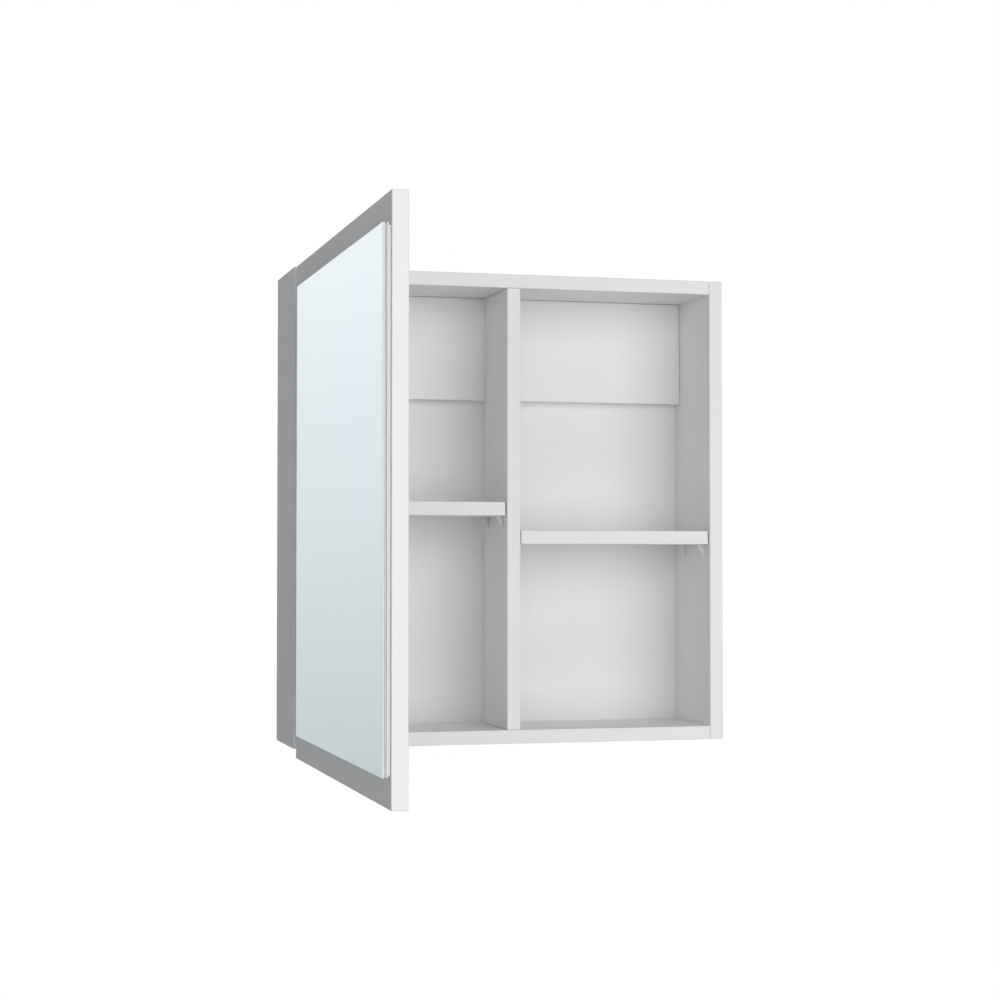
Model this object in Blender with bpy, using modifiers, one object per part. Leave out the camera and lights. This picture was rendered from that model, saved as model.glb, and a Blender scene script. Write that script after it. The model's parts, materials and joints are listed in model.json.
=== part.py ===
"""Hanging wall cabinet with a mirror door, for Blender 4.5.  Metres, +Z up.

The cabinet hangs on the wall plane y = 0 and reaches forward along -Y.  The origin is the middle of
the back panel's rear face.  The door is modelled closed and then turned open about its hinge axis.
"""
import math

import bmesh
import bpy
from mathutils import Matrix, Vector

MM = 0.001
GAP = 0.3 * MM                      # air left between neighbouring solids

# Carcass
WIDTH = 520 * MM
HEIGHT = 550 * MM
BOARD = 16 * MM
BOARD_DEPTH = 122 * MM
BACK_THICK = 3 * MM
EDGE_ROUND = 0.6 * MM
BACK_INSET = 1.0 * MM               # back panel stays this far inside the outer edges
RAIL_HEIGHT = 125 * MM
REAR_Y = -BACK_THICK - GAP          # rear edges of the boards
FRONT_Y = REAR_Y - BOARD_DEPTH      # front edges of the boards
RAIL_FRONT_Y = REAR_Y - BOARD
LEFT_X = -WIDTH / 2
RIGHT_X = WIDTH / 2
BOTTOM_Z = -HEIGHT / 2
TOP_Z = HEIGHT / 2

# Shelves and their supports
SHELF_TOP_LEFT = BOTTOM_Z + 282.5 * MM
SHELF_TOP_RIGHT = BOTTOM_Z + 249.3 * MM
SHELF_SETBACK = 2.2 * MM
SHELF_DEPTH = 100 * MM
SHELF_END_GAP = 1.6 * MM
SUPPORT_FROM_FRONT = (21.5 * MM, 87 * MM)
SUPPORT_REACH = 7.5 * MM
SUPPORT_DROP = 13.5 * MM
SUPPORT_WIDTH = 6.5 * MM
SUPPORT_WALL = 2.0 * MM
SUPPORT_TAPER = 0.8                 # the lug's wall at its foot, as a share of its full thickness
PEG_BELOW = 6.1 * MM
PEG_RADIUS = 2.35 * MM
PEG_LENGTH = 6.5 * MM
PEG_HOLE_DEPTH = 7.0 * MM

# Door
DOOR_WIDTH = WIDTH
DOOR_THICK = 16 * MM
DOOR_BELOW = 10 * MM                # finger pull: the door hangs below the carcass
DOOR_GAP = 2.5 * MM                 # air in front of the carcass when the door is shut
DOOR_TURN = math.radians(90)        # how far the door stands open
MIRROR_HEIGHT = 500 * MM
MIRROR_BELOW_TOP = 30.5 * MM
MIRROR_FROM_HINGE = 53 * MM         # bare door left beside the hinges
GLASS_THICK = 3.0 * MM
ADHESIVE_THICK = 1.4 * MM
BACKING_THICK = 2.0 * MM
SPACER_THICK = 2.4 * MM
SPACER_INSET = 5 * MM
ADHESIVE_INSET = 2.5 * MM

# Concealed hinges, in plan from the carcass's left front corner: x to the right, y to the wall
HINGE_HEIGHTS = (TOP_Z - 95 * MM, BOTTOM_Z + 95 * MM)
POLE = Vector((7.35, -13.35)) * MM          # the door turns about this line
OUTER_FIXED = Vector((22.5, -5.6)) * MM     # outer link's pin in the arm
OUTER_CUP = Vector((8.45, -9.95)) * MM      # its other end in the cup, door shut
OUTER_TURN = math.radians(20)
OUTER_BOW = 5.0 * MM
INNER_FIXED = Vector((27.0, -5.8)) * MM
INNER_CUP = Vector((10.2, -6.95)) * MM
INNER_TURN = math.radians(34.3)
INNER_BOW = 4.5 * MM
LINK_THICK = 2.0 * MM
OUTER_HALF_WIDTH = 6.2 * MM
FORK_HALF_WIDTH = 3.1 * MM
INNER_HALF_WIDTH = 2.8 * MM
FORK_ANGLE = math.radians(50)       # how far the fork's root leans from the outer link's run
LINK_PIN_RADIUS = 0.9 * MM
EYE_RADIUS = 1.9 * MM
END_RADIUS = 1.5 * MM
CUP_EDGE = 4 * MM                   # wood left between the cup's bore and the door's edge
CUP_RADIUS = 17.5 * MM
CUP_DEPTH = 12.8 * MM
CUP_WALL = 1.0 * MM
CUP_FLOOR = 0.6 * MM
FLANGE_THICK = 1.0 * MM
FLANGE_REACH = 1.0 * MM
FLANGE_NOTCH_HALF = 6.8 * MM        # the rim is cut away on the hinge side for the links
FLANGE_NOTCH_REACH = 14.3 * MM
WING_HALF_LENGTH = 29 * MM
WING_HALF_WIDTH = 6.5 * MM
CUP_SCREW_OFFSET = 24 * MM
ARM_INNER_HALF = 7.0 * MM
ARM_WALL = 1.0 * MM
ARM_X = (20.0 * MM, 31.2 * MM)
ARM_Y = (-8.2 * MM, 54 * MM)
ARM_SCREW_Y = 43 * MM
PLATE_MIDDLE = 37 * MM              # from the front edge, the usual system line
PLATE_HALF_WIDTH = 9 * MM
PLATE_HALF_LENGTH = 25 * MM
PLATE_THICK = 2.2 * MM
RIDGE_HALF_WIDTH = 6.4 * MM
RIDGE_Y = (20 * MM, 52 * MM)
RIDGE_TOP_X = 26.5 * MM
PLATE_SCREW_OFFSET = 16 * MM

# Fasteners: screws as shank length, head radius, shank radius, head height
HANGER_SCREW = (14 * MM, 2.6 * MM, 1.5 * MM, 0.9 * MM)
PLATE_SCREW = (12.5 * MM, 3.4 * MM, 2.2 * MM, 1.6 * MM)
ARM_SCREW = (6.5 * MM, 3.2 * MM, 2.3 * MM, 1.4 * MM)
CUP_SCREW = (11 * MM, 3.0 * MM, 1.7 * MM, 1.2 * MM)
HOLE_BEYOND_TIP = 1.0 * MM
HANGER_SPACING = 420 * MM
HANGER_HEIGHT = 45 * MM
HANGER_WIDTH = 24 * MM
HANGER_THICK = 1.5 * MM
HANGER_BELOW_TOP = 62 * MM
HANGER_SCREW_OFFSET = 17.5 * MM
KEYHOLE_RADIUS = 5 * MM
KEYHOLE_DROP = 4 * MM
KEYHOLE_SLOT_HALF = 2.4 * MM
KEYHOLE_SLOT_TOP = 9 * MM
POCKET_HALF = 6 * MM
POCKET_DEPTH = 8 * MM
POCKET_Z = (-10 * MM, 12 * MM)
CAM_RADIUS = 7.5 * MM
CAM_DEPTH = 11.5 * MM
CAM_FROM_END = 24 * MM
CAM_FROM_FRONT = 61 * MM
CAM_SINK = 0.2 * MM
CAM_SLOT = (9.0 * MM, 1.6 * MM)     # driver cross: length and width
CAM_SLOT_DEPTH = 2.5 * MM
CAM_MOUTH_HALF = 3.6 * MM
BOLT_RADIUS = 3.0 * MM
BOLT_NECK = 2.0 * MM
BOLT_THREAD = 10.5 * MM
DIVIDER_SCREW_LENGTH = 38 * MM
DIVIDER_SCREW_HEAD = 3.6 * MM
DIVIDER_SCREW_SHANK = 1.9 * MM
DIVIDER_SCREW_SINK = 0.3 * MM


def reset_scene():
    for item in list(bpy.data.objects):
        bpy.data.objects.remove(item, do_unlink=True)


def new_collection(name):
    collection = bpy.data.collections.new(name)
    bpy.context.scene.collection.children.link(collection)
    return collection


def new_material(name, colour, roughness, metallic=0.0):
    material = bpy.data.materials.new(name)
    material.use_nodes = True
    shader = material.node_tree.nodes["Principled BSDF"]
    shader.inputs["Base Color"].default_value = (*colour, 1.0)
    shader.inputs["Roughness"].default_value = roughness
    shader.inputs["Metallic"].default_value = metallic
    return material


reset_scene()
PARTS = new_collection("hanging_wall_cabinet")
CUTTERS = new_collection("cutters")


# ---------------------------------------------------------------- placing and shaping

def add_object(name, mesh, collection, parent=None):
    item = bpy.data.objects.new(name, mesh)
    collection.objects.link(item)
    item.parent = parent
    return item


def finish(item, material, smooth=False):
    item.data.materials.clear()
    item.data.materials.append(material)
    if smooth:
        item.data.shade_smooth()
        item.data.set_sharp_from_angle(angle=math.radians(35))
    return item


def hide_cutter(item):
    item.hide_render = True
    item.display_type = "WIRE"
    return item


def box_mesh(name, low, high):
    """A box mesh about its own centre, and that centre."""
    low = Vector(low)
    high = Vector(high)
    shape = bmesh.new()
    bmesh.ops.create_cube(shape, size=1.0)
    bmesh.ops.scale(shape, vec=high - low, verts=shape.verts)
    mesh = bpy.data.meshes.new(name)
    shape.to_mesh(mesh)
    shape.free()
    return mesh, (low + high) / 2


def cylinder_mesh(name, radius, length, segments):
    """A closed cylinder along Z about its own centre."""
    shape = bmesh.new()
    bmesh.ops.create_cone(
        shape, cap_ends=True, segments=segments, radius1=radius, radius2=radius, depth=length,
    )
    mesh = bpy.data.meshes.new(name)
    shape.to_mesh(mesh)
    shape.free()
    return mesh


def box(name, low, high, material, parent=None, rounding=0.0):
    mesh, centre = box_mesh(name, low, high)
    item = add_object(name, mesh, PARTS, parent)
    item.location = centre
    if rounding:
        bevel = item.modifiers.new("edges", "BEVEL")
        bevel.width = rounding
        bevel.segments = 1
    return finish(item, material)


def box_cutter(name, low, high, parent=None):
    mesh, centre = box_mesh(name, low, high)
    item = add_object(name, mesh, CUTTERS, parent)
    item.location = centre
    return hide_cutter(item)


def turn_to(item, direction):
    """Points the item's own Z along a direction."""
    item.rotation_euler = Vector((0, 0, 1)).rotation_difference(Vector(direction)).to_euler()


def round_cutter(name, centre, direction, radius, length, parent=None, segments=16):
    """A cylinder about a point, along a direction."""
    item = add_object(name, cylinder_mesh(name, radius, length, segments), CUTTERS, parent)
    item.location = centre
    turn_to(item, direction)
    return hide_cutter(item)


def combine(item, other, operation="DIFFERENCE"):
    step = item.modifiers.new(other.name, "BOOLEAN")
    step.operation = operation
    step.solver = "EXACT"
    step.object = other
    return item


def turned(name, profile, material, parent=None, segments=16):
    """A solid of revolution about its own Z: the profile's (radius, height) points run top to bottom."""
    mesh = bpy.data.meshes.new(name)
    points = [(radius, 0.0, height) for radius, height in profile]
    mesh.from_pydata(points, [(i, i + 1) for i in range(len(points) - 1)], [])
    item = add_object(name, mesh, PARTS, parent)
    screw = item.modifiers.new("turn", "SCREW")
    screw.angle = 2 * math.pi
    screw.steps = segments
    screw.render_steps = segments
    screw.use_merge_vertices = True
    screw.merge_threshold = 0.00001
    screw.use_smooth_shade = True
    item.data.materials.append(material)
    return item


def arc_points(centre, radius, start, end, count):
    """Points on an arc, from the start angle to the end angle."""
    step = (end - start) / (count - 1)
    angles = [start + step * i for i in range(count)]
    return [Vector((centre[0] + radius * math.cos(a), centre[1] + radius * math.sin(a))) for a in angles]


def plate_from_outline(name, outline, thickness, collection, parent=None):
    """A flat plate: a filled 2D outline in XY, spread evenly about its own z = 0, as a welded mesh."""
    curve = bpy.data.curves.new(name + "_outline", "CURVE")
    curve.dimensions = "2D"
    curve.fill_mode = "BOTH"
    curve.extrude = thickness / 2
    spline = curve.splines.new("POLY")
    spline.points.add(len(outline) - 1)
    for point, (x, y) in zip(spline.points, outline):
        point.co = (x, y, 0.0, 1.0)
    spline.use_cyclic_u = True
    drawn = bpy.data.objects.new(name + "_outline", curve)
    CUTTERS.objects.link(drawn)
    bpy.context.view_layer.update()
    evaluated = drawn.evaluated_get(bpy.context.evaluated_depsgraph_get())
    mesh = bpy.data.meshes.new_from_object(evaluated)
    mesh.name = name
    bpy.data.objects.remove(drawn, do_unlink=True)
    shape = bmesh.new()
    shape.from_mesh(mesh)
    bmesh.ops.remove_doubles(shape, verts=shape.verts, dist=0.00001)
    bmesh.ops.recalc_face_normals(shape, faces=shape.faces)
    shape.to_mesh(mesh)
    shape.free()
    return add_object(name, mesh, collection, parent)


def screw_in(name, head, direction, sizes, material, drilled, parent=None):
    """A pointed screw with its head's underside at a point, and its hole in each of the drilled pieces."""
    length, head_radius, shank_radius, head_height = sizes
    profile = [
        (0.0, head_height),
        (head_radius * 0.8, head_height),
        (head_radius, head_height * 0.4),
        (head_radius, 0.0),
        (shank_radius, -GAP),
        (shank_radius, -length * 0.8),
        (0.0, -length),
    ]
    screw = turned(name, profile, material, parent, segments=12)
    screw.location = head
    turn_to(screw, direction)
    depth = length + HOLE_BEYOND_TIP
    above = GAP
    middle = Vector(head) - Vector(direction) * (depth - above) / 2
    hole = round_cutter(
        name + "_hole", middle, direction, shank_radius + GAP, depth + above, parent, segments=12,
    )
    for piece in drilled:
        combine(piece, hole)


# ---------------------------------------------------------------- materials

WHITE_BOARD = new_material("white_board", (0.80, 0.80, 0.79), 0.42)
BACK_BOARD = new_material("white_hardboard", (0.74, 0.74, 0.74), 0.55)
GLASS = new_material("mirror_glass", (0.86, 0.89, 0.90), 0.03, 1.0)
BACKING = new_material("mirror_backing", (0.66, 0.66, 0.64), 0.6)
ADHESIVE = new_material("mirror_adhesive", (0.10, 0.10, 0.10), 0.8)
PLASTIC = new_material("white_plastic", (0.84, 0.84, 0.82), 0.35)
NICKEL = new_material("nickel_steel", (0.62, 0.61, 0.59), 0.25, 1.0)
ZINC = new_material("zinc_steel", (0.55, 0.56, 0.57), 0.35, 1.0)
CAM_METAL = new_material("die_cast_zinc", (0.48, 0.48, 0.48), 0.45, 1.0)


# ---------------------------------------------------------------- carcass

def plan(point, z):
    """A hinge point given in plan from the carcass's left front corner, as a place in the cabinet."""
    return Vector((LEFT_X + point[0], FRONT_Y + point[1], z))


def build_panels():
    inner_left = LEFT_X + BOARD
    inner_right = RIGHT_X - BOARD
    inner_bottom = BOTTOM_Z + BOARD
    inner_top = TOP_Z - BOARD
    half_divider = BOARD / 2
    extents = {
        "side_panel_left": ((LEFT_X, FRONT_Y, BOTTOM_Z), (inner_left, REAR_Y, TOP_Z)),
        "side_panel_right": ((inner_right, FRONT_Y, BOTTOM_Z), (RIGHT_X, REAR_Y, TOP_Z)),
        "top_panel": ((inner_left + GAP, FRONT_Y, inner_top), (inner_right - GAP, REAR_Y, TOP_Z)),
        "bottom_panel": ((inner_left + GAP, FRONT_Y, BOTTOM_Z), (inner_right - GAP, REAR_Y, inner_bottom)),
        "divider": ((-half_divider, FRONT_Y, inner_bottom + GAP),
                    (half_divider, RAIL_FRONT_Y - GAP, inner_top - GAP)),
        "hanging_rail": ((inner_left + GAP, RAIL_FRONT_Y, inner_top - RAIL_HEIGHT),
                         (inner_right - GAP, REAR_Y, inner_top - GAP)),
    }
    panels = {}
    for name, (low, high) in extents.items():
        panels[name] = box(name, low, high, WHITE_BOARD, rounding=EDGE_ROUND)
    panels["back_panel"] = box(
        "back_panel",
        (LEFT_X + BACK_INSET, -BACK_THICK, BOTTOM_Z + BACK_INSET),
        (RIGHT_X - BACK_INSET, 0.0, TOP_Z - BACK_INSET),
        BACK_BOARD,
    )
    return panels


def build_support(name, wall_x, side, top_z, from_front, wall):
    """One shelf support: a lug with a gusset, and a peg in the wall.  side is +1 to face right."""
    origin = Vector((wall_x + side * GAP, FRONT_Y + from_front, top_z))
    foot = SUPPORT_WALL * SUPPORT_TAPER
    root = SUPPORT_WALL * 0.4
    bracket = [
        (0.0, 0.0),
        (0.0, -SUPPORT_DROP),
        (foot, -SUPPORT_DROP),
        (SUPPORT_WALL, -SUPPORT_WALL),
        (SUPPORT_REACH, -SUPPORT_WALL),
        (SUPPORT_REACH, 0.0),
    ]
    gusset = [
        (root, -SUPPORT_WALL * 0.5),
        (root, -SUPPORT_DROP * 0.96),
        (foot, -SUPPORT_DROP * 0.96),
        (SUPPORT_REACH * 0.92, -SUPPORT_WALL * 1.1),
        (SUPPORT_REACH * 0.92, -SUPPORT_WALL * 0.5),
    ]
    stand_up = Matrix.Rotation(math.radians(90), 4, "X")
    item = plate_from_outline(name, [(side * x, z) for x, z in bracket], SUPPORT_WIDTH, PARTS)
    rib = plate_from_outline(name + "_rib", [(side * x, z) for x, z in gusset], SUPPORT_WALL, CUTTERS)
    for piece in (item, rib):
        piece.data.transform(stand_up)
        piece.location = origin
    combine(item, hide_cutter(rib), "UNION")
    peg_z = top_z - PEG_BELOW
    rooted = SUPPORT_WALL * 0.5
    peg_x = origin.x + side * (rooted - PEG_LENGTH) / 2
    peg = round_cutter(
        name + "_peg", (peg_x, origin.y, peg_z), (1, 0, 0), PEG_RADIUS, PEG_LENGTH + rooted, segments=12,
    )
    combine(item, peg, "UNION")
    mouth = 1.0 * MM
    hole_x = wall_x + side * (mouth - PEG_HOLE_DEPTH) / 2
    hole = round_cutter(
        name + "_hole", (hole_x, origin.y, peg_z), (1, 0, 0), PEG_RADIUS + GAP, PEG_HOLE_DEPTH + mouth,
        segments=12,
    )
    combine(wall, hole)
    return finish(item, PLASTIC)


def build_shelves(panels):
    """Both shelves and the eight supports that they lie on."""
    left, middle, right = panels["side_panel_left"], panels["divider"], panels["side_panel_right"]
    bays = {
        "left": (SHELF_TOP_LEFT, ("outer", LEFT_X + BOARD, left), ("inner", -BOARD / 2, middle)),
        "right": (SHELF_TOP_RIGHT, ("inner", BOARD / 2, middle), ("outer", RIGHT_X - BOARD, right)),
    }
    for bay, (top_z, left_end, right_end) in bays.items():
        low_x = left_end[1] + SHELF_END_GAP
        high_x = right_end[1] - SHELF_END_GAP
        front = FRONT_Y + SHELF_SETBACK
        underside = top_z - BOARD
        box("shelf_" + bay, (low_x, front, underside), (high_x, front + SHELF_DEPTH, top_z),
            WHITE_BOARD, rounding=EDGE_ROUND)
        for side, (end, wall_x, wall) in ((1, left_end), (-1, right_end)):
            for row, distance in zip(("front", "rear"), SUPPORT_FROM_FRONT):
                name = f"shelf_support_{bay}_{end}_{row}"
                build_support(name, wall_x, side, underside - GAP, distance, wall)


def build_joinery(panels):
    """Cam locks in the top and bottom boards, their bolts in the sides, and the divider's screws."""
    y = FRONT_Y + CAM_FROM_FRONT
    for level, outer_z, up in (("top", TOP_Z, 1), ("bottom", BOTTOM_Z, -1)):
        board = panels[level + "_panel"]
        middle_z = outer_z - up * BOARD / 2
        for hand, side_x, inward in (("left", LEFT_X + BOARD, 1), ("right", RIGHT_X - BOARD, -1)):
            cam_x = side_x + inward * CAM_FROM_END
            side = panels["side_panel_" + hand]
            build_cam(f"cam_lock_{level}_{hand}", (cam_x, y, outer_z), up, inward, board)
            build_bolt(f"cam_bolt_{level}_{hand}", (side_x, y, middle_z), inward, side, board)
        build_divider_screw("divider_screw_" + level, (0.0, y, outer_z), up, board, panels["divider"])


def build_cam(name, face, up, inward, board):
    """A cam: a drum let into the board's outer face, with a driver cross and a mouth for the bolt."""
    x, y, outer_z = face
    bore_depth = CAM_DEPTH + GAP
    bore = round_cutter(name + "_bore", face, (0, 0, 1), CAM_RADIUS + GAP, 2 * bore_depth, segments=24)
    combine(board, bore)
    item = add_object(name, cylinder_mesh(name, CAM_RADIUS, CAM_DEPTH, 24), PARTS)
    item.location = (x, y, outer_z - up * (CAM_DEPTH / 2 + CAM_SINK))
    low_z, high_z = sorted((outer_z - up * CAM_SLOT_DEPTH, outer_z + up * MM))
    for index, (half_x, half_y) in enumerate((Vector(CAM_SLOT) / 2, Vector(reversed(CAM_SLOT)) / 2)):
        slot = box_cutter(
            f"{name}_cross_{index}", (x - half_x, y - half_y, low_z), (x + half_x, y + half_y, high_z),
        )
        combine(item, slot)
    low_x, high_x = sorted((x, x - inward * 2 * CAM_RADIUS))
    middle_z = outer_z - up * BOARD / 2
    mouth = box_cutter(
        name + "_mouth",
        (low_x, y - CAM_MOUTH_HALF, middle_z - CAM_MOUTH_HALF),
        (high_x, y + CAM_MOUTH_HALF, middle_z + CAM_MOUTH_HALF),
    )
    combine(item, mouth)
    return finish(item, CAM_METAL)


def build_bolt(name, face, inward, side, board):
    """A bolt screwed into the side panel from a point on its inner face, its head caught in the cam."""
    reach = CAM_FROM_END - 0.6 * MM
    profile = [
        (0.0, reach),
        (BOLT_RADIUS, reach - 1.0 * MM),
        (BOLT_RADIUS, reach - 2.5 * MM),
        (BOLT_NECK, reach - 3.5 * MM),
        (BOLT_NECK, 3.0 * MM),
        (BOLT_RADIUS, 2.0 * MM),
        (BOLT_RADIUS, 2.0 * MM - BOLT_THREAD),
        (0.0, -BOLT_THREAD),
    ]
    item = turned(name, profile, ZINC, segments=12)
    item.location = face
    turn_to(item, (inward, 0, 0))
    middle = Vector(face) + Vector((inward * (reach - BOLT_THREAD) / 2, 0.0, 0.0))
    hole = round_cutter(
        name + "_hole", middle, (1, 0, 0), BOLT_RADIUS + GAP, reach + BOLT_THREAD + 2 * GAP, segments=12,
    )
    combine(side, hole)
    combine(board, hole)


def build_divider_screw(name, face, up, board, divider):
    """A countersunk screw through the top or bottom board into the divider's end."""
    profile = [
        (0.0, 0.0),
        (DIVIDER_SCREW_HEAD, 0.0),
        (DIVIDER_SCREW_HEAD, -0.4 * MM),
        (DIVIDER_SCREW_SHANK, -2.6 * MM),
        (DIVIDER_SCREW_SHANK, 4 * MM - DIVIDER_SCREW_LENGTH),
        (0.0, -DIVIDER_SCREW_LENGTH),
    ]
    item = turned(name, profile, ZINC, segments=12)
    face = Vector(face)
    outward = Vector((0.0, 0.0, up))
    item.location = face - outward * DIVIDER_SCREW_SINK
    turn_to(item, outward)
    depth = DIVIDER_SCREW_LENGTH + HOLE_BEYOND_TIP
    shank = round_cutter(
        name + "_hole", face - outward * depth / 2, outward, DIVIDER_SCREW_SHANK + GAP, depth, segments=12,
    )
    sink = round_cutter(name + "_sink", face, outward, DIVIDER_SCREW_HEAD + GAP, 6.4 * MM, segments=12)
    combine(board, shank)
    combine(board, sink)
    combine(divider, shank)


def build_hangers(panels):
    """Two keyhole hanger plates behind the rail, in openings of the back panel, each with two screws."""
    rail = panels["hanging_rail"]
    for hand, x in (("left", -HANGER_SPACING / 2), ("right", HANGER_SPACING / 2)):
        name = "hanger_" + hand
        z = TOP_Z - HANGER_BELOW_TOP
        half_width = HANGER_WIDTH / 2
        half_height = HANGER_HEIGHT / 2
        front = REAR_Y + GAP
        plate = box(name, (x - half_width, front, z - half_height),
                    (x + half_width, front + HANGER_THICK, z + half_height), ZINC)
        opening = box_cutter(
            name + "_opening",
            (x - half_width - MM, -BACK_THICK - MM, z - half_height - MM),
            (x + half_width + MM, MM, z + half_height + MM),
        )
        combine(panels["back_panel"], opening)
        key_z = z - KEYHOLE_DROP
        keyhole = round_cutter(name + "_key", (x, REAR_Y, key_z), (0, 1, 0), KEYHOLE_RADIUS, 12 * MM)
        slot = box_cutter(name + "_slot", (x - KEYHOLE_SLOT_HALF, REAR_Y - 6 * MM, key_z),
                          (x + KEYHOLE_SLOT_HALF, REAR_Y + 6 * MM, z + KEYHOLE_SLOT_TOP))
        pocket = box_cutter(name + "_pocket", (x - POCKET_HALF, REAR_Y - POCKET_DEPTH, z + POCKET_Z[0]),
                            (x + POCKET_HALF, REAR_Y + MM, z + POCKET_Z[1]))
        combine(plate, keyhole)
        combine(plate, slot)
        combine(rail, pocket)
        for level, offset in (("upper", HANGER_SCREW_OFFSET), ("lower", -HANGER_SCREW_OFFSET)):
            head = (x, front + HANGER_THICK + GAP, z + offset)
            screw_in(f"hanger_screw_{hand}_{level}", head, (0, 1, 0), HANGER_SCREW, ZINC, (plate, rail))


# ---------------------------------------------------------------- hinges

def build_mounting_plate(name, z, side_panel):
    """The plate screwed to the side panel: a cross with a ridge for the arm."""
    base_x = LEFT_X + BOARD + GAP
    middle_y = FRONT_Y + PLATE_MIDDLE
    item = box(name, (base_x, middle_y - PLATE_HALF_WIDTH, z - PLATE_HALF_LENGTH),
               (base_x + PLATE_THICK, middle_y + PLATE_HALF_WIDTH, z + PLATE_HALF_LENGTH), NICKEL)
    ridge = box_cutter(
        name + "_ridge",
        (base_x + PLATE_THICK / 2, FRONT_Y + RIDGE_Y[0], z - RIDGE_HALF_WIDTH),
        (LEFT_X + RIDGE_TOP_X, FRONT_Y + RIDGE_Y[1], z + RIDGE_HALF_WIDTH),
    )
    combine(item, ridge, "UNION")
    for level, offset in (("upper", PLATE_SCREW_OFFSET), ("lower", -PLATE_SCREW_OFFSET)):
        head = (base_x + PLATE_THICK + GAP, middle_y, z + offset)
        screw_in(f"{name}_screw_{level}", head, (1, 0, 0), PLATE_SCREW, NICKEL, (item, side_panel))
    return item


def build_arm(name, z, plate):
    """The arm: a channel over the plate's ridge, with both link pins in its nose, and its clamp screw."""
    low_x, high_x = LEFT_X + ARM_X[0], LEFT_X + ARM_X[1]
    low_y, high_y = FRONT_Y + ARM_Y[0], FRONT_Y + ARM_Y[1]
    outer_half = ARM_INNER_HALF + ARM_WALL
    item = box(name, (low_x, low_y, z - outer_half), (high_x, high_y, z + outer_half), NICKEL)
    channel = box_cutter(name + "_channel", (low_x - MM, low_y - MM, z - ARM_INNER_HALF),
                         (high_x - ARM_WALL, high_y + MM, z + ARM_INNER_HALF))
    combine(item, channel)
    for index, point in enumerate((OUTER_FIXED, INNER_FIXED)):
        pin = round_cutter(f"{name}_pin_{index}", plan(point, z), (0, 0, 1), LINK_PIN_RADIUS,
                           2 * (ARM_INNER_HALF + ARM_WALL * 0.7), segments=12)
        combine(item, pin, "UNION")
    head = (high_x + GAP, FRONT_Y + ARM_SCREW_Y, z)
    screw_in(name + "_screw", head, (1, 0, 0), ARM_SCREW, NICKEL, (item, plate))


def bowed_strip(start, end, bow, half_thick, steps=9):
    """The outline of a strip bent on one arc between two points, bowed to the left of its run."""
    chord = end - start
    half = chord.length / 2
    radius = (half * half + bow * bow) / (2 * bow)
    across = Vector((-chord.y, chord.x)).normalized()
    centre = (start + end) / 2 + across * (bow - radius)
    first = math.atan2(start.y - centre.y, start.x - centre.x)
    last = math.atan2(end.y - centre.y, end.x - centre.x)
    sweep = (last - first) % (2 * math.pi)
    if bow < radius and sweep > math.pi:
        sweep -= 2 * math.pi
    outside = arc_points(centre, radius + half_thick, first, first + sweep, steps)
    inside = arc_points(centre, radius - half_thick, first + sweep, first, steps)
    return outside + inside


def build_link(name, z, axis, pivot, far_end, bow, half_width, fork_half=None):
    """A link bent round the cup's rim: an eye on the arm's pin, and a rounded end in the cup."""
    start = Vector((0.0, 0.0))
    end = far_end - pivot
    outline = bowed_strip(start, end, bow, LINK_THICK / 2)
    width = 2 * half_width
    item = plate_from_outline(name, outline, width, PARTS, axis)
    item.location = (0.0, 0.0, z)
    pin = (0.0, 0.0, z)
    eye = round_cutter(name + "_eye", pin, (0, 0, 1), EYE_RADIUS, width, axis, segments=16)
    tip = round_cutter(name + "_tip", (*end, z), (0, 0, 1), END_RADIUS, width, axis, segments=12)
    combine(item, eye, "UNION")
    combine(item, tip, "UNION")
    if fork_half:
        reach = 30 * MM
        clear = EYE_RADIUS + GAP
        turn = math.atan2(end.y, end.x) + FORK_ANGLE
        corner = Vector((reach, reach, fork_half))
        fork = box_cutter(name + "_fork", -corner, corner, axis)
        fork.location = Vector(((clear + reach) * math.cos(turn), (clear + reach) * math.sin(turn), z))
        fork.rotation_euler = (0.0, 0.0, turn)
        combine(item, fork)
    bore = round_cutter(name + "_bore", pin, (0, 0, 1), LINK_PIN_RADIUS + GAP, 2 * width, axis)
    combine(item, bore)
    return finish(item, NICKEL, smooth=True)


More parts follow.
